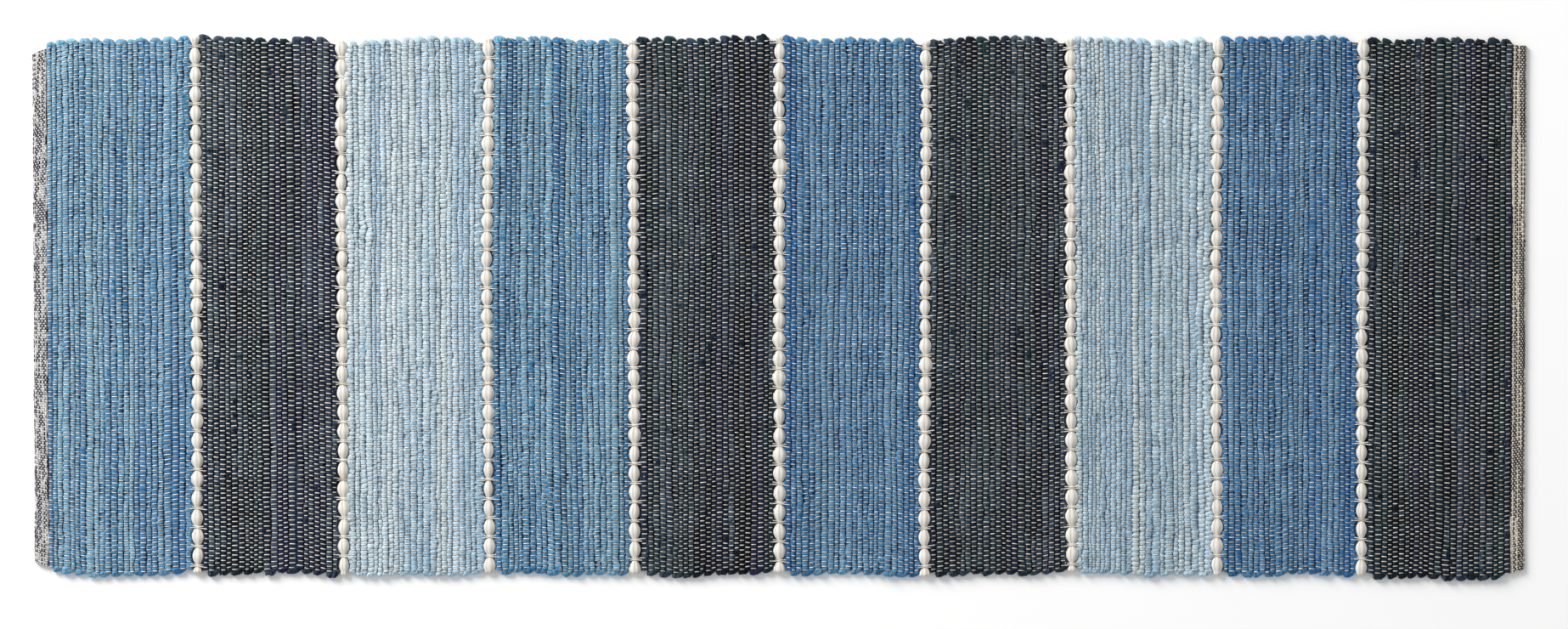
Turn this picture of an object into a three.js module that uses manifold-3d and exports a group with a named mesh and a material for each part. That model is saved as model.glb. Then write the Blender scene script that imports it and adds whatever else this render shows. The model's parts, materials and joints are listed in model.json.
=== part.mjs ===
// Runner rug: a plain-weave rag rug with nine beaded cords woven across it.
// Millimetres, +Z up, +X along the runner, origin at the centre of its underside.
// Ten bands of rag weft lie between the cords. Each band is one strip of rag that runs to and fro
// across the warp, and it is a body of its own, hinged to the next along the cord between them.
import * as THREE from 'three';
import { mergeVertices } from 'three/addons/utils/BufferGeometryUtils.js';
import Module from 'manifold-3d';

// Overall size
const length = 1800;
const width = 650;

// Rag weft
const ragThickness = 7;
const pickPitch = 7.04;
const slitWidth = 0.6;
const turnLength = 5;
const turnCorner = 2.2;

// Beaded cords
const cordCount = 9;
const cordPitch = 176;
const beadPitch = 23.4;
const beadWidth = 14.4;
const beadHeight = 9;
const pinchShare = 0.33;
const endShare = 0.7;
const cordSides = 6;
const cordClearance = 0.3;

// Warp sheet, level through the rag and into the fold of each hem
const warpThickness = 1;
const warpClearance = 0.3;

// Hems of fine cloth, folded twice
const hemWidth = 16;
const hemPly = 1.2;
const hemInset = 6;
const hemFold = 2;
const foldGap = 0.3;
const hemClearance = 0.3;

// Hem thread, laid in a groove under the hem
const threadDiameter = 0.6;
const threadSides = 8;
const grooveClearance = 0.3;
const grooveFromFold = 2.8;

const wasm = await Module();
wasm.setup();

const ragMaterials = {
  medium: new THREE.MeshStandardMaterial({ color: 0x6a8da4, roughness: 0.95, metalness: 0 }),
  dark: new THREE.MeshStandardMaterial({ color: 0x434c55, roughness: 0.95, metalness: 0 }),
  light: new THREE.MeshStandardMaterial({ color: 0xa1b4bf, roughness: 0.95, metalness: 0 }),
};
const rovingMaterial = new THREE.MeshStandardMaterial({ color: 0xefece6, roughness: 0.9, metalness: 0 });
const warpMaterial = new THREE.MeshStandardMaterial({ color: 0xd9d0bd, roughness: 0.9, metalness: 0 });
const hemMaterial = new THREE.MeshStandardMaterial({ color: 0xa7a5a5, roughness: 0.95, metalness: 0 });
const threadMaterial = new THREE.MeshStandardMaterial({ color: 0xcfc8b8, roughness: 0.8, metalness: 0 });

// The rag of each band, from the left end of the runner to the right
const bandShades = [
  'medium', 'dark', 'light', 'medium', 'dark', 'medium', 'dark', 'light', 'medium', 'dark',
];

// The warp lies on the under ply and the turned-in ply of the hems
const warpLevel = 2 * (hemPly + foldGap) + warpThickness / 2;
const grooveFromEdge = hemWidth - grooveFromFold;
const slotHalfHeight = warpThickness / 2 + warpClearance;
const slotHalfWidth = width / 2 - turnLength;

function twoDigits(number) {
  return String(number).padStart(2, '0');
}

function cordX(index) {
  return (index - (cordCount - 1) / 2) * cordPitch;
}

// The stretch of the runner's length that a band's rag fills
function bandSpan(index) {
  const toCord = beadWidth / 2 + cordClearance;
  const toHem = hemWidth + hemClearance;
  const start = index === 0 ? -length / 2 + toHem : cordX(index - 1) + toCord;
  const stop = index === cordCount ? length / 2 - toHem : cordX(index) - toCord;
  return { start, stop };
}

// Outline points along one selvedge, from left to right. Every second slit opens here and stops
// short of the other selvedge, where the rag turns from one pick into the next.
function selvedgePoints(side, start, pitch, pickCount) {
  const edge = side * width / 2;
  const cut = edge - side * turnCorner;
  const slitEnd = -side * slotHalfWidth;
  const stop = start + pickCount * pitch;
  const points = [[start, cut], [start + turnCorner, edge]];
  for (let slit = side > 0 ? 1 : 2; slit < pickCount; slit += 2) {
    const left = start + slit * pitch - slitWidth / 2;
    const right = left + slitWidth;
    points.push([left - turnCorner, edge], [left, cut], [left, slitEnd]);
    points.push([right, slitEnd], [right, cut], [right + turnCorner, edge]);
  }
  points.push([stop - turnCorner, edge], [stop, cut]);
  return points;
}

function toManifold(geometry) {
  const bare = geometry.clone();
  bare.deleteAttribute('normal');
  bare.deleteAttribute('uv');
  const merged = mergeVertices(bare);
  return new wasm.Manifold(new wasm.Mesh({
    numProp: 3,
    vertProperties: new Float32Array(merged.attributes.position.array),
    triVerts: new Uint32Array(merged.index.array),
  }));
}

function toGeometry(solid) {
  const mesh = solid.getMesh();
  const geometry = new THREE.BufferGeometry();
  geometry.setAttribute('position', new THREE.BufferAttribute(mesh.vertProperties, mesh.numProp));
  geometry.setIndex(new THREE.BufferAttribute(mesh.triVerts, 1));
  geometry.computeVertexNormals();
  return geometry;
}

// One strip of rag, laid to and fro, with a level slot through all its picks for the warp
function ragWeft(index) {
  const { start, stop } = bandSpan(index);
  const pickCount = Math.max(1, Math.round((stop - start) / pickPitch));
  const pitch = (stop - start) / pickCount;
  const far = selvedgePoints(1, start, pitch, pickCount);
  const near = selvedgePoints(-1, start, pitch, pickCount).reverse();
  const outline = new THREE.Shape([...far, ...near].map(([x, y]) => new THREE.Vector2(x, y)));
  const strip = new THREE.ExtrudeGeometry(outline, { depth: ragThickness, bevelEnabled: false });
  const slotLength = stop - start + 2 * turnLength;
  const slot = new THREE.BoxGeometry(slotLength, 2 * slotHalfWidth, 2 * slotHalfHeight);
  slot.translate((start + stop) / 2, 0, warpLevel);
  const material = ragMaterials[bandShades[index]];
  const mesh = new THREE.Mesh(toGeometry(toManifold(strip).subtract(toManifold(slot))), material);
  mesh.name = `rag_weft_${twoDigits(index + 1)}`;
  return mesh;
}

// A chain of beads along Y: full at each bead's middle, drawn in between two beads, and ending in
// half a bead at each selvedge
function beadedCord(index) {
  const beadCount = Math.round(width / beadPitch);
  const step = width / beadCount / 2;
  const profile = [new THREE.Vector2(0, -width / 2), new THREE.Vector2(endShare, -width / 2)];
  for (let i = 1; i < 2 * beadCount; i += 1) {
    profile.push(new THREE.Vector2(i % 2 ? pinchShare : 1, -width / 2 + i * step));
  }
  profile.push(new THREE.Vector2(endShare, width / 2), new THREE.Vector2(0, width / 2));
  const geometry = new THREE.LatheGeometry(profile, cordSides, Math.PI / cordSides);
  geometry.scale(beadWidth / 2, 1, beadHeight / 2 / Math.cos(Math.PI / cordSides));
  const mesh = new THREE.Mesh(geometry, rovingMaterial);
  mesh.name = `beaded_cord_${twoDigits(index + 1)}`;
  mesh.position.set(cordX(index), 0, beadHeight / 2);
  return mesh;
}

// The cotton ends of one band, as the level sheet that they make. In an end band the sheet runs on
// into the fold of the hem.
function warpSheet(index) {
  const { start, stop } = bandSpan(index);
  const intoHem = hemClearance + hemWidth - 2 * hemFold;
  const left = index === 0 ? start - intoHem : start;
  const right = index === cordCount ? stop + intoHem : stop;
  const sheetWidth = 2 * (slotHalfWidth - warpClearance);
  const mesh = new THREE.Mesh(new THREE.BoxGeometry(right - left, sheetWidth, warpThickness), warpMaterial);
  mesh.name = `warp_${twoDigits(index + 1)}`;
  mesh.position.set((left + right) / 2, 0, warpLevel);
  return mesh;
}

// The hem in section, as distance from the outer edge and height: the face ply, round the outer
// fold to the under ply, and round the inner fold to the ply that is turned in between them
function hemSection() {
  const faceUnder = warpLevel + warpThickness / 2 + foldGap;
  const faceTop = faceUnder + hemPly;
  const turnedTop = 2 * hemPly + foldGap;
  const turnedUnder = hemPly + foldGap;
  const underTop = hemPly;
  const corner = hemFold / 2;
  const turnedEnd = 2 * hemFold;
  const innerFold = hemWidth - hemPly;
  const grooveHalf = threadDiameter / 2 + grooveClearance;
  const grooveTop = threadDiameter + grooveClearance / 2;
  return [
    [hemWidth, faceTop], [hemFold, faceTop], [0, faceTop - hemFold], [0, hemFold], [hemFold, 0],
    [grooveFromEdge - grooveHalf, 0], [grooveFromEdge - grooveHalf, grooveTop],
    [grooveFromEdge + grooveHalf, grooveTop], [grooveFromEdge + grooveHalf, 0],
    [hemWidth - corner, 0], [hemWidth, corner], [hemWidth, turnedTop],
    [turnedEnd, turnedTop], [turnedEnd, turnedUnder], [innerFold, turnedUnder], [innerFold, underTop],
    [hemFold, underTop], [hemPly, underTop + corner], [hemPly, faceUnder - corner],
    [hemFold, faceUnder], [hemWidth, faceUnder],
  ];
}

// Turns a section drawn in distance and height into a bar along Y, centred on the runner
function barAlongY(points, span) {
  const outline = new THREE.Shape(points.map(([x, z]) => new THREE.Vector2(x, z)));
  const geometry = new THREE.ExtrudeGeometry(outline, { depth: span, bevelEnabled: false });
  geometry.rotateX(Math.PI / 2);
  geometry.translate(-length / 2, span / 2, 0);
  return geometry;
}

function hem() {
  return new THREE.Mesh(barAlongY(hemSection(), width - 2 * hemInset), hemMaterial);
}

function hemThread() {
  const radius = threadDiameter / 2;
  const points = [];
  for (let i = 0; i < threadSides; i += 1) {
    const angle = 2 * Math.PI * (i + 0.5) / threadSides;
    points.push([grooveFromEdge + radius * Math.cos(angle), radius + radius * Math.sin(angle)]);
  }
  return new THREE.Mesh(barAlongY(points, width - 4 * hemInset), threadMaterial);
}

const rug = new THREE.Group();
for (let band = 0; band <= cordCount; band += 1) {
  rug.add(ragWeft(band), warpSheet(band));
}
for (let cord = 0; cord < cordCount; cord += 1) {
  rug.add(beadedCord(cord));
}
for (const [end, turn] of [['left', 0], ['right', Math.PI]]) {
  const cloth = hem();
  cloth.name = `hem_${end}`;
  const thread = hemThread();
  thread.name = `hem_thread_${end}`;
  const side = new THREE.Group();
  side.add(cloth, thread);
  side.rotation.z = turn;
  rug.add(side);
}

export default rug;
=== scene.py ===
"""Runner rug woven from rag strips, with white beaded cords across it and a fine tweed hem at each end.

Metres throughout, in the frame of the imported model: X along the runner, Y across it, Z up, and the
floor at Z 0. The warp is 221 cotton ends that run along X. Ten bands of rag weft lie between nine
cords of roving, and each band is one strip of rag that goes to and fro between the selvedges.
"""
import json

import bpy
import numpy as np
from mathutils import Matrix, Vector

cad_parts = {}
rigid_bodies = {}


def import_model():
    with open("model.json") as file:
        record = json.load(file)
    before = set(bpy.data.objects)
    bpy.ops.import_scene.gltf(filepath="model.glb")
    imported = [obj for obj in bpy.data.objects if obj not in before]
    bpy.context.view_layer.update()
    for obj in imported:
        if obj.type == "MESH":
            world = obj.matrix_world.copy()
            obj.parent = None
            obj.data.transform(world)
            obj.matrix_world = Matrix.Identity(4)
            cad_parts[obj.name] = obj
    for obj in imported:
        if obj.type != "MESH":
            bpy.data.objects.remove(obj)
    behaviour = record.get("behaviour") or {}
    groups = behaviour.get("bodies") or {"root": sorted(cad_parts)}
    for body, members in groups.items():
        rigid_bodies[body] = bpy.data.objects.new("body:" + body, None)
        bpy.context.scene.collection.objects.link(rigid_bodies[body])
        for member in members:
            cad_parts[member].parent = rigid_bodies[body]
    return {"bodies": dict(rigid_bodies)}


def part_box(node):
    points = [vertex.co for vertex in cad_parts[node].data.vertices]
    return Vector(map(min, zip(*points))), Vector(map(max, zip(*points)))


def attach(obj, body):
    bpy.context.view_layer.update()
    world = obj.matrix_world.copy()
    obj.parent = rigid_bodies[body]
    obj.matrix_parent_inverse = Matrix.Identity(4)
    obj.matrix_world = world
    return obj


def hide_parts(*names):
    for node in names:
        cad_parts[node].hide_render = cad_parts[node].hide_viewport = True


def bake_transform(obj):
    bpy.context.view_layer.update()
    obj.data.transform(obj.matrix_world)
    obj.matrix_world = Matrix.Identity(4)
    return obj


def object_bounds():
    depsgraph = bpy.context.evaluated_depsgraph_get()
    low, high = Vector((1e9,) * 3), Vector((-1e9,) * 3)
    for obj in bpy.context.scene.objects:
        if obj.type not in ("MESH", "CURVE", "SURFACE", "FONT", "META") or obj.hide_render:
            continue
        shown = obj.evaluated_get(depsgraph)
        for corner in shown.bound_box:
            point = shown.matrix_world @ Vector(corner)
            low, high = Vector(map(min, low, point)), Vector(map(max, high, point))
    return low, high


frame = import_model()
CAD_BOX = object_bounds()

MM = 0.001
BANDS = sorted(frame["bodies"])
CORDS = len(BANDS) - 1


def span(node, axis):
    """The lowest and highest coordinate of a CAD node along one axis."""
    low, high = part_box(node)
    return low[axis], high[axis]


def middle(node, axis):
    """The coordinate half way through a CAD node along one axis."""
    return sum(span(node, axis)) / 2


def size(node, axis):
    """The extent of a CAD node along one axis."""
    low, high = span(node, axis)
    return high - low


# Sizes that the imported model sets
HALF_LENGTH = (CAD_BOX[1][0] - CAD_BOX[0][0]) / 2
HALF_WIDTH = (CAD_BOX[1][1] - CAD_BOX[0][1]) / 2
RAG_THICKNESS = size("rag_weft_01", 2)
MID = RAG_THICKNESS / 2
BEAD_WIDTH = size("beaded_cord_01", 0)
BEAD_TOP = span("beaded_cord_01", 2)[1]
HEM_WIDTH = size("hem_left", 0)
HEM_THICKNESS = size("hem_left", 2)

# The warp: THREAD is the radius of an end, FLOAT_HEIGHT is how far a float lies from the middle of the
# cloth, FLOAT_SHARE is how much of the pick beneath it runs level, and THREAD_TILT is how far it slants
ENDS = 221
END = np.arange(ENDS)
ACROSS = END / (ENDS - 1)
THREAD = 0.66 * MM
THREAD_SIDES = 3
FLOAT_HEIGHT = 3.0 * MM
FLOAT_SHARE = 0.64
THREAD_TILT = 0.11 * MM

# The selvedges: how far in the outermost warp end lies, and the waves of the edge, each with its height
# in millimetres, its length along the runner, where it starts, and how far each side shifts that
SELVEDGE_REACH = 7.0 * MM
EDGE_WAVES = [(1.5, 0.33, 0, 2.1), (1.3, 0.137, 1.3, 1), (0.7, 0.071, 0, 0.6)]

# A fuller stretch of the near selvedge, in millimetres, with its place and its reach along the runner
FULL_EDGE = 5
FULL_EDGE_X = 0.79
FULL_EDGE_REACH = 0.12

# How far the cloth pulls in at each corner, in millimetres
CORNER_PULL = {(-1, 1): 11, (1, 1): 3, (-1, -1): 11, (1, -1): 3}
CORNER_REACH = 18 * MM

# The rag: it stands BULGE from the middle of the cloth between two warp ends and DENT where one presses
# on it, and a lump pulls it towards LUMP more than BULGE. BULGE_SPREAD and DENTED_SPREAD are its width
# there as a share of its pick's.
PICK_PITCH = 7.04 * MM
BULGE = 3.4 * MM
DENT = 1.9 * MM
LUMP = 0.6 * MM
BULGE_SPREAD = 1.3
DENTED_SPREAD = 1.04
RINGS = 3 * (ENDS - 1) // 2 + 1
RAG_SIDES = 6

# The turns of the rag: how far each reaches past the outermost warp end and how much that varies, both
# in millimetres, and the narrowest and widest that half a strip gets there
TURN_REACH = 3.5
TURN_VARIES = 0.55
TURN_STEPS = 8
TURN_WIDTHS = (3.2 * MM, 4.2 * MM)

# How much the picks differ in width, from one to the next and along each one
WIDTHS_VARY = 0.19
WIDTH_VARIES = 0.035

# How far the cloth stays off the floor
LIFT = 0.05 * MM

# The cords: a bead spans BEAD_ENDS warp ends. At a tie a cord is PINCH to each side, PINCH_TOP above
# its level and PINCH_BOTTOM below, and the rag stays TIE_GAP from its centre. A bead hangs BEAD_BOTTOM
# lower than a tie. A cord ends CORD_PAST warp ends past the last one.
BEAD_ENDS = 8
BEAD_POWER = 1.05
BEAD_BOTTOM = 1.2 * MM
PINCH = 2.3 * MM
PINCH_TOP = 2.1 * MM
PINCH_BOTTOM = 1.9 * MM
TIE_GAP = 3.6 * MM
CORD_LEVEL = 4.4 * MM
CORD_PAST = 2.0
CORD_RINGS = 345
CORD_SIDES = 24

# The threads that cross a cord, in millimetres: the points that each passes on the way over, and how
# high the two that tie it are there. Within TIE_REACH of the cord those two draw together, by
# TIE_DRAW of a warp end's pitch.
CROSSING_X = [-9.2, -6.4, -3, 0, 3, 6.4, 9.2]
TIE_Z = [6.5, 6.7, 6.9, 7.15, 6.9, 6.7, 6.5]
TIE_REACH = 5 * MM
TIE_DRAW = 0.62
END_PITCH = 2.9 * MM

# The hems: the pitch of their yarns, and how far the middle of a yarn lies inside the folded cloth
HEM_PICK = 1.85 * MM
HEM_SKIN = 0.75 * MM
HEM_TURNS = 5
YARN_SIDES = 5
STITCH_INSET = 2.2 * MM
STITCH_ENDS = 2.2
STITCH_RADIUS = 0.4 * MM
STITCH_SIDES = 5

# Which of each eight yarns of a hem are pale, counted out from the inner edge and round the fold, how
# far that order breaks up, and over how many warp ends
PALE_YARNS = {"left": (0, 3), "right": (1, 4)}
YARN_MIX = {"left": 2.2, "right": 1.0}
YARN_SPREAD = {"left": 1.6, "right": 9}

# Shade of each band's rag, from the left end of the runner to the right, and what is added to the
# shade of its rag and of its warp ends: more is paler. What is added to the rag is partly the band's
# own tone and partly painted light falling off towards the right end; what is added to the warp ends
# is only painted light falling off that way.
SHADES = ["blue", "dark", "pale", "blue", "dark", "bright", "dark", "pale", "bright", "dark"]
BAND_TONE_AND_PAINTED_FALLOFF = [0.06, 0.02, 0.1, 0.03, -0.04, -0.02, -0.1, -0.2, -0.1, -0.14]
WARP_PAINTED_FALLOFF = [0.0, 0, 0, -0.1, -0.3, -0.25, -0.35, -0.3, -0.3, -0.25]

# How far each cord leans towards +X from the near selvedge to the far one, and how far its middle
# bows towards -X, in millimetres: the weaver's beat was not quite even. Each cord keeps within about
# 2 mm of its place in the model.
CORD_LEAN = [-3, -4, -1.5, -3, 0, 2, -2.5, 1, 3]
CORD_BOW = [0, 0, 2.5, 0, 0.5, 0, 0, 2.5, 0]
HEM_LEAN = {"left": -3, "right": 3}

# The view: the share of the frame's width that the runner fills, and the point under the camera
RUNNER_SHARE = 0.9496
VIEW_CENTRE = (5.6 * MM, -9.8 * MM)

X_WAY, Y_WAY, Z_WAY = np.eye(3)


# ---------------------------------------------------------------- numbers that vary smoothly


def wander(rng, shape, spread):
    """Seeded numbers of unit deviation that change smoothly along the last axis: white noise whose
    waves are damped by a Gaussian, so that it turns over in about `spread` samples."""
    waves = np.fft.rfftfreq(shape[-1])
    damped = np.fft.rfft(rng.standard_normal(shape)) * np.exp(-2 * (np.pi * waves * spread) ** 2)
    noise = np.fft.irfft(damped, shape[-1])
    return noise / noise.std()


def ease(t):
    """Goes from 0 to 1 as t does, level at both ends: 3 t squared less 2 t cubed."""
    t = np.clip(t, 0, 1)
    return t * t * (3 - 2 * t)


# ---------------------------------------------------------------- meshes


def new_piece(name, points, faces, body=None, slot=None, material=None, **values):
    """A mesh object from an array of points and arrays of faces, one array for each number of
    corners. Points stay just clear of the floor, where the cloth rests and is pressed flat. Each
    further argument is an attribute with one number for each point."""
    points = np.concatenate([points[:, :2], np.maximum(points[:, 2:], LIFT)], 1)
    mesh = bpy.data.meshes.new(name)
    mesh.vertices.add(len(points))
    mesh.vertices.foreach_set("co", np.ascontiguousarray(points, np.float32).ravel())
    corners = np.concatenate([f.ravel() for f in faces]).astype(np.int32)
    counts = np.concatenate([np.full(len(f), f.shape[1]) for f in faces])
    mesh.loops.add(len(corners))
    mesh.loops.foreach_set("vertex_index", corners)
    mesh.polygons.add(len(counts))
    starts = np.concatenate([[0], np.cumsum(counts)[:-1]]).astype(np.int32)
    mesh.polygons.foreach_set("loop_start", starts)
    mesh.update(calc_edges=True)
    mesh.polygons.foreach_set("use_smooth", np.ones(len(counts), bool))
    for key, numbers in values.items():
        attribute = mesh.attributes.new(key, "FLOAT", "POINT")
        attribute.data.foreach_set("value", np.ascontiguousarray(numbers, np.float32).ravel())
    piece = bpy.data.objects.new(name, mesh)
    bpy.context.scene.collection.objects.link(piece)
    if material:
        mesh.materials.append(material)
    if body:
        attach(piece, body)
    return piece


def tube_faces(tubes, rings, sides):
    """Faces of tubes whose points are ordered by tube, ring and side: a quad between each two rings
    and sides, and a cap over the first ring and the last. The sides turn about the direction of
    travel by the right-hand rule, so that the faces look out."""
    index = np.arange(tubes * rings * sides).reshape(tubes, rings, sides)
    turned = np.roll(index, -1, axis=2)
    quads = np.stack([index[:, :-1], turned[:, :-1], turned[:, 1:], index[:, 1:]], -1)
    caps = np.concatenate([index[:, 0, ::-1], index[:, -1]])
    return [quads.reshape(-1, 4), caps]


def sweep(path, side, up, section):
    """Points of tubes: each ring lies about a path point, at section[..., 0] along its side vector
    plus section[..., 1] along its up vector. One vector or one section does for all the rings."""
    across = section[..., 0:1] * side[..., None, :]
    along = section[..., 1:2] * up[..., None, :]
    return path[..., None, :] + across + along


def round_section(sides, turn=0.0):
    """A regular polygon in a circle of radius 1, turned by a share of one side."""
    angle = 2 * np.pi * (np.arange(sides) + turn) / sides
    return np.stack([np.cos(angle), np.sin(angle)], -1)


def thread_tubes(x, y, z):
    """Warp ends along +X: rows of points, each ring upright and across the travel."""
    path = np.stack([x, y, z], -1)
    points = sweep(path, Y_WAY, Z_WAY, round_section(THREAD_SIDES, 0.25) * THREAD)
    return points.reshape(-1, 3), tube_faces(*path.shape[:-1], THREAD_SIDES)


# ---------------------------------------------------------------- the lie of the cloth


def selvedge(x, side):
    """Y of the outermost warp end on one side of the runner, at x: a straight edge with slow and
    quick waves and one fuller stretch on the near side, pulled in towards each corner by an
    exponential."""
    waves = sum(
        height * np.sin(2 * np.pi * x / length + start + move * side)
        for height, length, start, move in EDGE_WAVES
    )
    if side < 0:
        waves = waves + FULL_EDGE * np.exp(-(((x - FULL_EDGE_X) / FULL_EDGE_REACH) ** 2))
    pull = 0
    for end in (-1, 1):
        pull = pull + CORNER_PULL[end, side] * np.exp(-(HALF_LENGTH - end * x) / CORNER_REACH)
    return side * (HALF_WIDTH - SELVEDGE_REACH + (waves - pull) * MM)


def cloth_y(x, end):
    """Y of the cloth at x, the given number of warp ends from the near selvedge."""
    near, far = selvedge(x, -1), selvedge(x, 1)
    return near + (far - near) * end / (ENDS - 1)


def ends_y(x):
    """Y of each warp end where it passes x, whose last axis has one number for each end."""
    return cloth_y(x, END)


def between_ends(rows, place):
    """Rows with one number for each warp end, read at places between the ends by straight lines."""
    low = np.clip(np.floor(place).astype(int), 0, ENDS - 2)
    first, second = np.take_along_axis(rows, low, 1), np.take_along_axis(rows, low + 1, 1)
    return first + (second - first) * (place - low)


def cord_x(cord):
    """X of a cord's centre at each warp end: its place in the model, with its lean and its bow."""
    centre = middle(f"beaded_cord_{cord + 1:02d}", 0)
    bow = CORD_BOW[cord] * np.cos(2 * np.pi * (ACROSS - 0.5)) / 2
    return centre + (CORD_LEAN[cord] * (ACROSS - 0.5) - bow) * MM


def hem_x(end):
    """X of a hem's inner edge at each warp end."""
    inner = span(f"hem_{end}", 0)[1 if end == "left" else 0]
    return inner + HEM_LEAN[end] * (ACROSS - 0.5) * MM


def first_pinch(cord):
    """The warp end after which a cord is first tied down: it differs from cord to cord."""
    return 1.5 + (5 * cord) % 6


def beading(cord, end):
    """How full a cord is at a warp end, from 0 at a tie to 1 at the middle of a bead: the sine of
    the way from one tie to the next, slimmed a little towards the ties."""
    way = (end - first_pinch(cord)) / BEAD_ENDS
    return np.abs(np.sin(np.pi * way)) ** BEAD_POWER


def clear_of_cord(cord):
    """How far the rag keeps from a cord's centre at each warp end: it tucks in a little under each
    bead, and stays back at the ties, so that two bands can fold up to each other."""
    half_width = PINCH + (BEAD_WIDTH / 2 - PINCH) * beading(cord, END)
    return np.maximum(half_width - 0.4 * MM, TIE_GAP)


def pick_count(band):
    """How many picks of rag a band holds, at about PICK_PITCH."""
    low, high = span(f"rag_weft_{band + 1:02d}", 0)
    return max(1, round((high - low) / PICK_PITCH))


PICKS_BEFORE = np.concatenate([[0], np.cumsum([pick_count(b) + 1 for b in range(len(BANDS))])])


def rag_lines(band):
    """X of the lines between a band's picks, at each warp end: the widths wander from pick to pick
    and along each pick, and are scaled to fill the band. The outermost lines follow the beads."""
    rng = np.random.default_rng(40 + band)
    count = pick_count(band)
    left = cord_x(band - 1) + BEAD_WIDTH / 2 if band else hem_x("left")
    right = cord_x(band) - BEAD_WIDTH / 2 if band < CORDS else hem_x("right")
    widths = WIDTHS_VARY * rng.standard_normal((count, 1))
    widths = widths + WIDTH_VARIES * wander(rng, (count, ENDS), 16)
    share = np.cumsum(np.exp(widths), 0) / np.exp(widths).sum(0)
    lines = left + (right - left) * np.concatenate([np.zeros((1, ENDS)), share])
    rough = ease(0.35 + 0.5 * wander(rng, lines.shape, 9))
    stray = 0.32 * wander(rng, lines.shape, 7) + 0.62 * rough * wander(rng, lines.shape, 1.2)
    lines = lines + stray * MM
    if band:
        lines[0] = cord_x(band - 1) + clear_of_cord(band - 1)
    if band < CORDS:
        lines[-1] = cord_x(band) - clear_of_cord(band)
    return lines


LINES = [rag_lines(band) for band in range(len(BANDS))]


def warp_over(band, pick):
    """Whether each warp end passes over a pick, in plain weave counted from the left hem."""
    return (PICKS_BEFORE[band] + pick + END) % 2 == 0


# ---------------------------------------------------------------- rag weft


def with_turns(rows, turns):
    """Joins rows of samples, one row for each pick, into one run to and fro: every second row is
    reversed, and each row is followed by the samples of its turn."""
    rows = rows.copy()
    rows[1::2] = rows[1::2, ::-1]
    run = np.concatenate([rows, turns], 1).reshape(-1, *rows.shape[2:])
    return run[: len(run) - turns.shape[1]]


def filled_picks(rng, half, dented):
    """How far a strip stands above and below the middle of the cloth at each ring: less where its
    pick is narrow, dented where a warp end presses on it, and loose and lumpy on the upper face."""
    fullness = np.clip(0.7 + 0.3 * half / (PICK_PITCH / 2), 0.8, 1.12)
    loose = 1 + 0.1 * wander(rng, half.shape, 2.5) + 0.06 * wander(rng, half.shape, 20)
    lumps = 0.42 * ease(3 * (wander(rng, half.shape, 1.9) - 1.6)) * (half > 2.6 * MM)
    top = np.where(dented, DENT, BULGE * np.clip(loose, 0.75, 1.15)) * fullness
    top = top + lumps * (BULGE + LUMP - top) * 2
    return top, np.where(dented, BULGE, DENT) * np.minimum(fullness, 1)


def turn_path(rng, centre, picks, last):
    """The way round the selvedge from each pick to the next, from its last ring: half an ellipse,
    squared off a little. Also how far each step is on the way out, from 0 to 1."""
    step = np.arange(1, TURN_STEPS + 1) / (TURN_STEPS + 1)
    out = np.where(last > 0, 1, -1)[:, None]
    here = centre[picks, last][:, None]
    there = centre[np.minimum(picks + 1, picks[-1]), last][:, None]
    reach = (TURN_REACH + TURN_VARIES * rng.standard_normal((len(picks), 1))) * MM
    bend = np.sin(np.pi * step) ** 0.7
    swing = np.sign(np.cos(np.pi * step)) * np.abs(np.cos(np.pi * step)) ** 0.7
    x = (here + there) / 2 - (there - here) / 2 * swing
    y = np.where(out > 0, selvedge(x, 1), selvedge(x, -1)) + out * reach * bend
    return x, y, bend


def crumpled_sections(rng, plus, minus, high, low):
    """The rings of a strip, squared-off rounds of the given reach on each side, above and below.
    Seeded crumple pushes points in, and out on the upper half only, and each ring is tipped."""
    around = round_section(RAG_SIDES)
    shape = np.sign(around) * np.abs(around) ** 0.8
    widths = np.where(shape[:, 0] > 0, plus[:, None], minus[:, None])
    heights = np.where(shape[:, 1] > 0, high[:, None], low[:, None])
    rough = (0.07 + 0.16 * ease(0.2 + 0.7 * wander(rng, plus.shape, 6)))[:, None]
    crumple = 1 + rough * rng.standard_normal(widths.shape)
    crumple = np.clip(crumple, 0.7, 1 + 0.16 * (shape[:, 1] > -0.1))
    section = np.stack([widths * shape[:, 0], heights * shape[:, 1]], -1) * crumple[..., None]
    tip = 0.16 * wander(rng, plus.shape, 5)[:, None] * section[..., 0]
    section[..., 1] = section[..., 1] + tip
    return section


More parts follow.
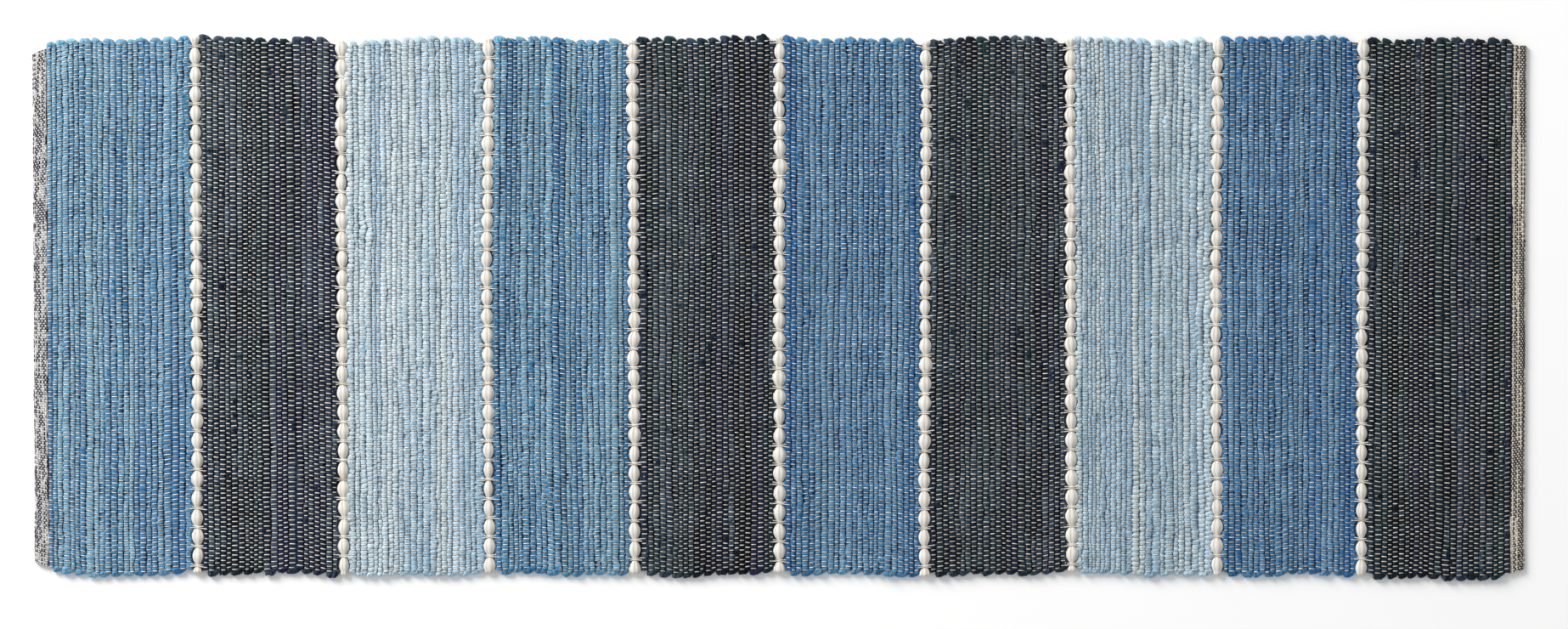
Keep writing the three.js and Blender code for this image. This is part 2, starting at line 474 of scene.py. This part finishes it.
def rag_strip(band):
    """One strip of rag, laid to and fro. Its section is a flattened round as wide as its pick. It
    has three rings for each two warp ends: one dented where the end runs over it, and two that
    bulge between and crowd against the picks on both sides. Seeded crumple, lumps and lean make it
    uneven. At each selvedge it turns on half an ellipse, leaning the way it is pulled."""
    rng = np.random.default_rng(700 + band)
    lines = LINES[band]
    picks = np.arange(len(lines) - 1)
    parity = ((PICKS_BEFORE[band] + picks) % 2)[:, None]
    third = 2 * np.arange(RINGS) - parity
    dented = third % 3 == 0
    place = third / 3
    centre = between_ends((lines[1:] + lines[:-1]) / 2, place)
    half = between_ends((lines[1:] - lines[:-1]) / 2, place)

    top, bottom = filled_picks(rng, half, dented)
    last = np.where(picks % 2 == 0, RINGS - 1, 0)
    turn_x, turn_y, bend = turn_path(rng, centre, picks, last)
    wide = np.clip(half[picks, last][:, None], *TURN_WIDTHS) * np.ones(TURN_STEPS)
    inner = wide + 0.25 * wide * bend
    pleat = 0.13 * (-1.0) ** np.arange(TURN_STEPS) + 0.12 * rng.standard_normal(wide.shape)
    turn_level = 0.97 * BULGE * (1 + pleat)

    path = np.stack([with_turns(centre, turn_x), with_turns(cloth_y(centre, place), turn_y)], -1)
    travel = np.gradient(path, axis=0)
    travel /= np.linalg.norm(travel, axis=1, keepdims=True)
    side = np.stack([-travel[:, 1], travel[:, 0], np.zeros(len(path))], -1)
    rise = 0.14 * MM * wander(rng, (len(path),), 9)
    path = np.concatenate([path, (MID + rise)[:, None]], 1)

    spread = np.where(dented, DENTED_SPREAD, BULGE_SPREAD) * half
    plus_half, minus_half = spread.copy(), spread.copy()
    plus_half[0] = half[0]
    (plus_half if picks[-1] % 2 else minus_half)[-1] = half[-1]
    left_turn = (picks % 2 == 1)[:, None]
    plus = with_turns(plus_half, np.where(left_turn, inner, wide))
    minus = with_turns(minus_half, np.where(left_turn, wide, inner))
    high, low = with_turns(top, turn_level), with_turns(bottom, turn_level)
    points = sweep(path, side, Z_WAY, crumpled_sections(rng, plus, minus, high, low))

    edge = np.where(
        points[..., 1] > 0, selvedge(points[..., 0], 1), -selvedge(points[..., 0], -1)
    )
    beyond = np.maximum(np.abs(points[..., 1]) - edge, 0)
    leaning = 0.45 + 0.2 * wander(rng, (len(path),), 40)[:, None]
    points[..., 0] = points[..., 0] - leaning * beyond

    # Painted light: the band's added shade falls off towards the right end of the runner, on top of its
    # own tone.
    shade = 0.5 + BAND_TONE_AND_PAINTED_FALLOFF[band] + rag_shading(rng, len(path), len(picks))
    shade = shade[:, None] + 0.1 * rng.standard_normal((len(path), RAG_SIDES))
    tint = wander(rng, (len(path),), 130)[:, None] + np.zeros(RAG_SIDES)
    turning = with_turns(0 * half, np.ones((len(picks), TURN_STEPS)))[:, None]
    # level and pressed feed the painted shade of the rag's finish: it is darkened the lower it lies
    # towards the middle of the cloth and where a warp end presses on it. The turns are left unpainted.
    level = np.where(turning > 0, BULGE, points[..., 2] - MID) / MM
    pressed = with_turns(dented * 1.0, 0 * turn_x)[:, None] + 0 * level
    values = {"shade": shade, "tint": tint, "level": level, "pressed": pressed}
    return points.reshape(-1, 3), tube_faces(1, len(path), RAG_SIDES), values


def rag_shading(rng, count, picks):
    """Shade along a strip: each length of rag between two joins has its own, and it fades a little
    along the way where the cloth was worn."""
    joins = np.sort(rng.integers(0, count, picks))
    pieces = 0.15 * rng.standard_normal(picks + 1)
    steps = pieces[np.searchsorted(joins, np.arange(count))]
    return steps + 0.1 * wander(rng, (count,), 50) + 0.07 * wander(rng, (count,), 4)


# ---------------------------------------------------------------- warp


def warp_threads(band):
    """The warp ends of a band. Each runs level over or under the middle of a pick and slants from
    one face to the other between two picks, from the centre of the first to that of the last."""
    lines = LINES[band]
    picks = len(lines) - 1
    centre, half = (lines[1:] + lines[:-1]) / 2, (lines[1:] - lines[:-1]) / 2
    over = np.array([warp_over(band, pick) for pick in range(picks)])
    height = np.where(over, 1, -1) * FLOAT_HEIGHT
    flat = FLOAT_SHARE * half
    x = np.stack([centre - flat, centre + flat], 1).reshape(2 * picks, ENDS)
    z = MID + np.repeat(height, 2, axis=0)
    rng = np.random.default_rng(800 + band)
    tilt = wander(rng, (picks, ENDS), 6) + 0.8 * rng.standard_normal((picks, ENDS))
    tilt = THREAD_TILT * tilt
    y = ends_y(x) + np.stack([-tilt, tilt], 1).reshape(2 * picks, ENDS)
    if band:
        x[0], y[0] = centre[0], ends_y(centre[0])
    if band < CORDS:
        x[-1], y[-1] = centre[-1], ends_y(centre[-1])
    return x, y, z


def thread_piece(name, x, y, z, seed, painted_falloff=0.0, **details):
    """A piece of many threads along X, whose rows are points and whose columns are threads. The number
    after the seed is added to its shade, as painted light falling off towards the right end of the
    runner."""
    rng = np.random.default_rng(seed)
    points, faces = thread_tubes(x.T, y.T, z.T)
    rings, threads = x.shape
    along = 0.5 + 0.16 * wander(rng, (threads, rings), min(8, rings / 4))
    along = along + 0.12 * rng.standard_normal((threads, 1))
    tone = painted_falloff + np.repeat(along.ravel(), THREAD_SIDES) + 0.08 * rng.standard_normal(len(points))
    # level feeds the painted shade of a thread as it dives towards the middle of the cloth.
    level = np.repeat((z.T.ravel() - MID) / MM, THREAD_SIDES)
    return new_piece(name, points, faces, shade=tone, level=level, **details)


def crossing_threads(cord):
    """The stretch of each warp end that passes a cord, from the centre of the last pick on one side
    to that of the first on the other. The two ends at each tie draw together and pass over the
    roving, and the others dip beneath the bead."""
    before, after = LINES[cord], LINES[cord + 1]
    x_cord = cord_x(cord)
    way = (END - first_pinch(cord)) / BEAD_ENDS
    from_tie = (way - np.round(way)) * BEAD_ENDS
    tied = np.abs(from_tie) < 1
    left, right = (before[-1] + before[-2]) / 2, (after[0] + after[1]) / 2
    offsets = np.array(CROSSING_X)[:, None] * MM
    x = np.concatenate([left[None], x_cord + offsets, right[None]])
    x[1] = np.maximum(x[1], left + 0.8 * MM)
    x[-2] = np.minimum(x[-2], right - 0.8 * MM)
    near = np.pad(np.exp(-((offsets / TIE_REACH) ** 2)), ((1, 1), (0, 0)))
    y = ends_y(x) - np.where(tied, from_tie * TIE_DRAW, 0) * near * END_PITCH
    over_left = warp_over(cord, len(before) - 2)
    over_right = warp_over(cord + 1, 0)
    surface = MID + FLOAT_HEIGHT
    under = MID - FLOAT_HEIGHT
    z = np.where(tied, np.array(TIE_Z)[:, None] * MM, under + 0.1 * MM)
    first, last = np.where(over_left, surface, under), np.where(over_right, surface, under)
    z = np.concatenate([first[None], z, last[None]])
    z[1] = np.where(~tied & over_left, surface - 0.4 * MM, z[1])
    z[-2] = np.where(~tied & over_right, surface - 0.4 * MM, z[-2])
    return x, y, z


# ---------------------------------------------------------------- cords


def beaded_cord(cord):
    """Thick roving along Y, round in section and flatter underneath. Its radius swells from tie to
    tie, lengthwise grooves cut into it, and it closes within CORD_PAST warp ends of the last one."""
    rng = np.random.default_rng(300 + cord)
    end = np.linspace(-CORD_PAST, ENDS - 1 + CORD_PAST, CORD_RINGS)
    x = np.interp(end, END, cord_x(cord))
    near, far = selvedge(x[0], -1), selvedge(x[-1], 1)
    y = near + (far - near) * end / (ENDS - 1)
    past = np.maximum(np.maximum(-end, end - ENDS + 1), 0) / CORD_PAST
    close = np.sqrt(np.clip(1 - past ** 4, 0.02, 1))
    full = np.maximum(beading(cord, end), 0.62 * ease(2.2 * past))
    fat = 1.04 + 0.08 * wander(rng, (len(end),), 6)
    x = x + 0.4 * MM * wander(rng, (len(end),), 7)
    half = (PINCH + (BEAD_WIDTH / 2 - PINCH) * full) * close * fat
    high = (PINCH_TOP + (BEAD_TOP - CORD_LEVEL - PINCH_TOP) * full) * close
    low = (PINCH_BOTTOM + BEAD_BOTTOM * full) * close
    around = round_section(CORD_SIDES)
    angle = np.arctan2(around[:, 1], around[:, 0])
    phase = 0.9 * wander(rng, (len(end),), 16)[:, None]
    ridge = np.cos(7 * angle + phase) * 0.6 + np.cos(12 * angle - 2 * phase) * 0.4
    swell = 1 + 0.09 * ridge * (0.4 + 0.6 * full[:, None])
    heights = np.where(around[:, 1] > 0, high[:, None], low[:, None])
    section = np.stack([half[:, None] * around[:, 0], heights * around[:, 1]], -1)
    path = np.stack([x, y, np.full_like(x, CORD_LEVEL)], -1)
    points = sweep(path, -X_WAY, Z_WAY, section * swell[..., None])
    # Painted shade: how dark the roving is painted, deep in the grooves and deeper towards the ties.
    groove = ease(0.5 - 0.65 * ridge) * (0.85 + 0.3 * (1 - full[:, None]))
    return points.reshape(-1, 3), tube_faces(1, len(end), CORD_SIDES), groove


# ---------------------------------------------------------------- hems


def hem_fold():
    """The line that a hem's cloth follows in section, as distance out from the inner edge, height,
    and the outward direction at each pick of fine yarn: along the face, round the outer fold, and
    back underneath."""
    radius = HEM_THICKNESS / 2 - HEM_SKIN
    flat = HEM_WIDTH - radius
    straight = np.arange(0.5 * HEM_PICK, flat, HEM_PICK)
    turns = np.pi * (np.arange(HEM_TURNS) + 0.5) / HEM_TURNS
    level = HEM_THICKNESS / 2
    out = np.concatenate([straight, flat + radius * np.sin(turns), straight[::-1]])
    z = np.concatenate([straight * 0 + level + radius, level + radius * np.cos(turns)])
    z = np.concatenate([z, straight * 0 + level - radius])
    out_way = np.concatenate([straight * 0, np.sin(turns), straight * 0])
    up_way = np.concatenate([straight * 0 + 1, np.cos(turns), straight * 0 - 1])
    return out, z, out_way, up_way


def hem_yarns(end):
    """The fine weft of a hem: one yarn for each pick of its fold, along Y, which rises where it
    passes over a warp end and sinks where it passes under one."""
    out, z, out_way, up_way = (a[:, None] for a in hem_fold())
    rng = np.random.default_rng(60 if end == "left" else 61)
    sign = -1 if end == "left" else 1
    picks = np.arange(len(out))[:, None]
    weave = np.where((picks + END) % 2 == 0, 1, -1)
    lift = 0.38 * MM * weave + 0.1 * MM * rng.standard_normal(weave.shape)
    drift = 0.25 * MM * wander(rng, weave.shape, 3)
    x = hem_x(end) + sign * (out + lift * out_way + drift)
    y = ends_y(hem_x(end) + sign * out)
    path = np.stack([x, y, z + lift * up_way], -1)
    thick = (0.86 + 0.08 * rng.standard_normal(weave.shape)) * MM
    section = round_section(YARN_SIDES, 0.25) * thick[..., None, None]
    points = sweep(path, -X_WAY, Z_WAY, section).reshape(-1, 3)
    pale = np.isin(picks % 8, PALE_YARNS[end]) * 2.0 - 1
    pale = pale + YARN_MIX[end] * wander(rng, weave.shape, YARN_SPREAD[end]) > 0
    fleck = np.where(pale, 0.75, 0.2) + 0.13 * rng.standard_normal(weave.shape)
    return points, tube_faces(*weave.shape, YARN_SIDES), np.repeat(fleck.ravel(), YARN_SIDES)


def hem_warp(end):
    """The warp ends in a hem: along the fold, over one fine pick and under the next."""
    out, z, out_way, up_way = (a[:, None] for a in hem_fold())
    sign = -1 if end == "left" else 1
    picks = np.arange(len(out))[:, None]
    lift = np.where((picks + END) % 2 == 0, -0.42, 0.42) * MM
    x = hem_x(end) + sign * (out + lift * out_way)
    y = ends_y(hem_x(end) + sign * out)
    path = np.stack([x, y, z + lift * up_way], -1).transpose(1, 0, 2)
    up = np.concatenate([sign * out_way, 0 * out_way, up_way], 1)
    section = round_section(THREAD_SIDES, 0.25) * [1.1 * MM, 0.8 * MM]
    points = sweep(path, sign * Y_WAY, up, section).reshape(-1, 3)
    return points, tube_faces(*path.shape[:-1], THREAD_SIDES)


def hem_stitches(end):
    """The thread that closes a hem: a running stitch along Y near the inner edge, which shows on the
    face for three fifths of each stitch and dives to the under side for the rest."""
    sign = -1 if end == "left" else 1
    x_line = hem_x(end) + sign * STITCH_INSET
    y_line = ends_y(x_line)
    stitch = np.arange(4, ENDS - 4, 0.5)
    x = np.interp(stitch, END, x_line)
    y = np.interp(stitch, END, y_line)
    shows = np.sin(2 * np.pi * stitch / STITCH_ENDS) > -0.3
    z = np.where(shows, HEM_THICKNESS + 0.25 * MM, HEM_THICKNESS / 2)
    path = np.stack([x, y, z], -1)[None]
    points = sweep(path, -X_WAY, Z_WAY, round_section(STITCH_SIDES) * STITCH_RADIUS)
    return points.reshape(-1, 3), tube_faces(1, len(stitch), STITCH_SIDES)


# ---------------------------------------------------------------- materials


class Signal:
    """A node socket that can stand in a sum: each +, - or * adds a Math node."""

    def __init__(self, finish, socket):
        self.finish, self.socket = finish, socket

    def math(self, operation, a, b):
        return self.finish.node("ShaderNodeMath", {"operation": operation}, {0: a, 1: b})

    def __add__(self, other):
        return self.math("ADD", self, other)

    def __radd__(self, other):
        return self.math("ADD", other, self)

    def __sub__(self, other):
        return self.math("SUBTRACT", self, other)

    def __rsub__(self, other):
        return self.math("SUBTRACT", other, self)

    def __mul__(self, other):
        return self.math("MULTIPLY", self, other)

    def __rmul__(self, other):
        return self.math("MULTIPLY", other, self)


def linear(red, green, blue):
    """A colour given in the usual 0 to 255 steps, as linear light."""
    steps = np.array([red, green, blue]) / 255
    light = np.where(steps <= 0.04045, steps / 12.92, ((steps + 0.055) / 1.055) ** 2.4)
    return (*light.tolist(), 1.0)


class Finish:
    """One material: a Principled shader and the nodes that feed it."""

    def __init__(self, name, **constants):
        self.material = bpy.data.materials.new(name)
        self.material.use_nodes = True
        self.nodes, self.links = self.material.node_tree.nodes, self.material.node_tree.links
        self.shader = next(n for n in self.nodes if n.type == "BSDF_PRINCIPLED")
        for key, value in constants.items():
            self.shader.inputs[key.replace("_", " ")].default_value = value

    def feed(self, socket, value):
        if isinstance(value, Signal):
            self.links.new(value.socket, socket)
        else:
            socket.default_value = value

    def node(self, kind, settings=None, inputs=None, output=0):
        """Adds a node: its settings first, then the values or links of its sockets."""
        made = self.nodes.new(kind)
        for key, value in (settings or {}).items():
            if key == "stops":
                ramp = made.color_ramp.elements
                while len(ramp) < len(value):
                    ramp.new(0.5)
                for element, (place, colour) in zip(ramp, value):
                    element.position, element.color = place, colour
            else:
                setattr(made, key, value)
        for key, value in (inputs or {}).items():
            self.feed(made.inputs[key], value)
        return Signal(self, made.outputs[output])

    def absolute(self, signal):
        return self.node("ShaderNodeMath", {"operation": "ABSOLUTE"}, {0: signal})

    def attribute(self, name):
        return self.node("ShaderNodeAttribute", {"attribute_name": name}, output="Fac")

    def noise(self, scale, stretch=(1, 1, 1), detail=3.0):
        """Noise on object coordinates, with `scale` features to the metre along each axis that
        stretch leaves at 1."""
        place = self.node("ShaderNodeTexCoord", output="Object")
        place = self.node("ShaderNodeMapping", {}, {"Vector": place, "Scale": stretch})
        settings = {"noise_dimensions": "3D"}
        inputs = {"Vector": place, "Scale": scale, "Detail": detail, "Roughness": 0.6}
        return self.node("ShaderNodeTexNoise", settings, inputs)

    def ramp(self, factor, *stops):
        return self.node("ShaderNodeValToRGB", {"stops": stops}, {"Fac": factor})

    def mix(self, factor, a, b):
        settings = {"data_type": "RGBA", "clamp_factor": True}
        return self.node("ShaderNodeMix", settings, {0: factor, 6: a, 7: b}, output=2)

    def bump(self, height, strength, distance):
        inputs = {"Height": height, "Strength": strength, "Distance": distance}
        return self.node("ShaderNodeBump", {}, inputs, output="Normal")

    def set(self, **signals):
        for key, signal in signals.items():
            self.feed(self.shader.inputs[key.replace("_", " ")], signal)
        return self.material


def rag_finish(name, fold, deep, body, worn, dyes):
    """Cotton rag: shade by length of strip and in broad patches, creases along it that are painted
    darker in their hollows and lighter on their ridges, a fine fibre, two more dyes that come and go
    along the strip, and painted shade wherever it dips towards the middle of the cloth or a warp end
    presses on it."""
    finish = Finish(name, Roughness=0.95, Specular_IOR_Level=0.15, Sheen_Weight=0.05)
    patches = finish.noise(16, (1, 0.5, 1), 3.0)
    creases = finish.noise(300, (1, 0.3, 1), 3.0)
    fibre = finish.noise(1500, (1, 0.5, 1), 2.0)
    shade = finish.attribute("shade") + (patches - 0.5) * 0.9
    # The creases are painted as light and shade: darker in their hollows and lighter on their ridges,
    # as the bump made from the same noise dips and rises.
    shade = shade + (creases - 0.5) * 1.8 + (fibre - 0.5) * 0.6
    colour = finish.ramp(shade, (0.1, deep), (0.5, body), (0.95, worn))
    tint = finish.attribute("tint")
    colour = finish.mix(tint * 0.4, colour, dyes[0])
    colour = finish.mix(tint * -0.4, colour, dyes[1])
    # Painted shade: the rag takes its shade colour the lower it lies towards the middle of the cloth,
    # and where a warp end presses on it.
    height = finish.absolute(finish.attribute("level")) + (creases - 0.5) * 1.5
    pressed = finish.attribute("pressed") * 0.6 + (creases - 0.5) * 0.8
    colour = finish.mix((2.5 - height) * 0.8, colour, fold)
    colour = finish.mix(pressed, colour, fold)
    relief = creases * 0.8 + fibre * 0.25
    return finish.set(Base_Color=colour, Normal=finish.bump(relief, 1.0, 1.8 * MM))


def warp_finish(name, dull, clean, painted_dive_shade=None):
    """Cream cotton thread, each end a little different, with slubs along it. Where a shade colour is
    given, the thread is painted that shade as it dives towards the middle of the cloth between two
    picks."""
    finish = Finish(name, Roughness=0.9, Specular_IOR_Level=0.2, Sheen_Weight=0.1)
    slubs = finish.noise(700, (0.4, 1, 1), 2.0)
    shade = finish.attribute("shade") + (slubs - 0.5) * 0.6
    colour = finish.ramp(shade, (0.1, dull), (0.7, clean))
    if painted_dive_shade:
        # Painted shade: darker the nearer the thread lies to the middle of the cloth.
        height = finish.absolute(finish.attribute("level"))
        colour = finish.mix((2.9 - height) * 0.6, colour, painted_dive_shade)
    return finish.set(Base_Color=colour, Normal=finish.bump(slubs, 0.5, 0.2 * MM))


def roving_finish(name):
    """Loosely spun white cotton: pale on the ridges, with painted shade in the grooves, deeper towards
    the ties.
    """
    finish = Finish(name, Roughness=0.92, Specular_IOR_Level=0.2, Sheen_Weight=0.15)
    fibre = finish.noise(900, (1, 0.12, 1), 3.0)
    depth = finish.attribute("groove") * 0.75 + (fibre - 0.5) * 0.7
    colour = finish.ramp(
        depth, (0.1, linear(228, 226, 221)), (0.5, linear(210, 204, 193)), (0.8, linear(172, 161, 142))
    )
    return finish.set(Base_Color=colour, Normal=finish.bump(fibre, 0.7, 0.4 * MM))


def hem_finish(name, *stops):
    """Two yarns, a dark one and a pale one, each with flecks along it."""
    finish = Finish(name, Roughness=0.95, Specular_IOR_Level=0.15, Sheen_Weight=0.1)
    flecks = finish.noise(520, (1, 1, 1), 2.0)
    fleck = finish.attribute("fleck") + (flecks - 0.5) * 0.5
    colour = finish.ramp(fleck, *stops)
    return finish.set(Base_Color=colour, Normal=finish.bump(flecks, 0.5, 0.3 * MM))


# Colours of each shade of rag: the painted shade of its hollows, then deep, plain and worn, and its two
# dyes. The painted shade also darkens each band's warp ends where they dive between two picks.
PAINTED_HOLLOW_SHADE = {
    "blue": linear(12, 58, 98), "bright": linear(12, 62, 110), "dark": linear(1, 3, 7),
    "pale": linear(116, 146, 168),
}
RAG = {
    "blue": rag_finish(
        "medium blue rag", PAINTED_HOLLOW_SHADE["blue"], linear(48, 98, 138), linear(90, 148, 184),
        linear(142, 188, 212), (linear(62, 118, 168), linear(120, 166, 188)),
    ),
    "bright": rag_finish(
        "bright blue rag", PAINTED_HOLLOW_SHADE["bright"], linear(42, 90, 132), linear(76, 130, 170),
        linear(118, 166, 200), (linear(46, 102, 160), linear(94, 142, 174)),
    ),
    "dark": rag_finish(
        "dark navy rag", PAINTED_HOLLOW_SHADE["dark"], linear(6, 13, 22), linear(34, 50, 64),
        linear(82, 100, 114), (linear(30, 54, 60), linear(34, 40, 70)),
    ),
    "pale": rag_finish(
        "light blue rag", PAINTED_HOLLOW_SHADE["pale"], linear(136, 172, 196), linear(186, 212, 226),
        linear(218, 232, 238), (linear(166, 198, 220), linear(200, 214, 218)),
    ),
}
RAG_SLOT = {
    "blue": "medium_blue_rag", "bright": "medium_blue_rag", "dark": "dark_navy_rag",
    "pale": "light_blue_rag",
}
CREAM = (linear(186, 178, 165), linear(246, 241, 231))
# Painted shade: each band's warp ends take the shade of its rag's hollows as they dive between picks,
# and the ends that cross a cord take a grey shade where they dip beneath a bead.
WARP = {shade: warp_finish(f"cotton warp in {shade}", *CREAM, PAINTED_HOLLOW_SHADE[shade]) for shade in RAG}
TIE_WARP = warp_finish("cotton warp at the ties", *CREAM, linear(74, 72, 70))
HEM_WARP = {
    "left": warp_finish("cool hem warp", linear(160, 158, 160), linear(222, 221, 219)),
    "right": warp_finish("warm hem warp", linear(160, 152, 140), linear(222, 214, 200)),
}
ROVING = roving_finish("white roving")
HEM = {
    "left": hem_finish(
        "cool hem tweed", (0.05, linear(22, 22, 38)), (0.4, linear(76, 76, 92)),
        (0.58, linear(164, 162, 164)), (0.85, linear(222, 221, 217)),
    ),
    "right": hem_finish(
        "warm hem tweed", (0.05, linear(12, 12, 18)), (0.4, linear(60, 56, 58)),
        (0.58, linear(156, 148, 136)), (0.85, linear(218, 211, 197)),
    ),
}
STITCH = warp_finish("hem thread", linear(204, 196, 182), linear(232, 226, 214))


# ---------------------------------------------------------------- the pieces


def make_bands():
    """The rag strip of each band and its warp ends, which ride on the band."""
    for band, body in enumerate(BANDS):
        tag = f"{band + 1:02d}"
        shade_name = SHADES[band]
        points, faces, values = rag_strip(band)
        rag = new_piece(
            f"rag_strip_{tag}", points, faces, body, RAG_SLOT[shade_name], RAG[shade_name], **values
        )
        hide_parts(f"rag_weft_{tag}")
        warp = thread_piece(
            f"warp_ends_{tag}", *warp_threads(band), 500 + band, WARP_PAINTED_FALLOFF[band], body=body,
            slot="cotton_warp", material=WARP[shade_name],
        )
        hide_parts(f"warp_{tag}")


def make_cords():
    """Each cord and the threads that cross it."""
    for cord in range(CORDS):
        tag = f"{cord + 1:02d}"
        points, faces, groove = beaded_cord(cord)
        roving = new_piece(
            f"roving_beads_{tag}", points, faces, None, "white_roving", ROVING, groove=groove
        )
        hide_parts(f"beaded_cord_{tag}")
        ties = thread_piece(
            f"warp_crossing_{tag}", *crossing_threads(cord), 600 + cord, slot="cotton_warp",
            material=TIE_WARP,
        )
        for piece in (roving, ties):
            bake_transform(piece)


def make_hems():
    """The yarns, the warp ends and the sewing thread of each hem."""
    for end, body in (("left", BANDS[0]), ("right", BANDS[-1])):
        points, faces, fleck = hem_yarns(end)
        cloth = new_piece(
            f"hem_yarns_{end}", points, faces, body, "hem_cloth", HEM[end], fleck=fleck
        )
        points, faces = hem_warp(end)
        warp = new_piece(
            f"hem_warp_{end}", points, faces, body, "cotton_warp", HEM_WARP[end],
            shade=np.full(len(points), 0.6),
        )
        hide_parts(f"hem_{end}")
        points, faces = hem_stitches(end)
        thread = new_piece(
            f"hem_stitches_{end}", points, faces, body, "hem_thread", STITCH,
            shade=np.full(len(points), 0.6),
        )
        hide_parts(f"hem_thread_{end}")


# ---------------------------------------------------------------- floor, light and camera


def make_stage():
    """A plain pale floor, a soft light from the far left, and an even pale sky."""
    floor = Finish("floor", Base_Color=(0.98, 0.98, 0.98, 1), Roughness=0.9, Specular_IOR_Level=0.0)
    mesh = bpy.data.meshes.new("floor")
    reach = 12.0
    corners = [(-reach, -reach, 0), (reach, -reach, 0), (reach, reach, 0), (-reach, reach, 0)]
    mesh.from_pydata(corners, [], [(0, 1, 2, 3)])
    mesh.materials.append(floor.material)
    ground = bpy.data.objects.new("floor", mesh)
    bpy.context.scene.collection.objects.link(ground)

    world = bpy.data.worlds.new("sky")
    world.use_nodes = True
    world.node_tree.nodes["Background"].inputs["Color"].default_value = (0.97, 0.985, 1.0, 1)
    world.node_tree.nodes["Background"].inputs["Strength"].default_value = 0.56
    bpy.context.scene.world = world

    lamp = bpy.data.lights.new("window", "AREA")
    lamp.shape = "DISK"
    lamp.size = 3.6
    lamp.energy = 590
    lamp.color = (1.0, 0.985, 0.96)
    window = bpy.data.objects.new("window", lamp)
    window.location = (-4.2, 4.4, 3.2)
    window.rotation_euler = (Vector((0, 0, 0)) - window.location).to_track_quat("-Z", "Y").to_euler()
    bpy.context.scene.collection.objects.link(window)
    bpy.context.scene.view_settings.view_transform = "Standard"


def make_camera():
    """Looks straight down on the runner, which fills RUNNER_SHARE of the frame's width."""
    lens = bpy.data.cameras.new("camera")
    lens.lens, lens.sensor_width = 100, 36
    lens.clip_end = 50
    frame_width = 2 * HALF_LENGTH / RUNNER_SHARE
    camera = bpy.data.objects.new("camera", lens)
    camera.location = (*VIEW_CENTRE, frame_width * lens.lens / lens.sensor_width)
    bpy.context.scene.collection.objects.link(camera)
    bpy.context.scene.camera = camera


make_camera()
make_bands()
make_cords()
make_hems()
make_stage()
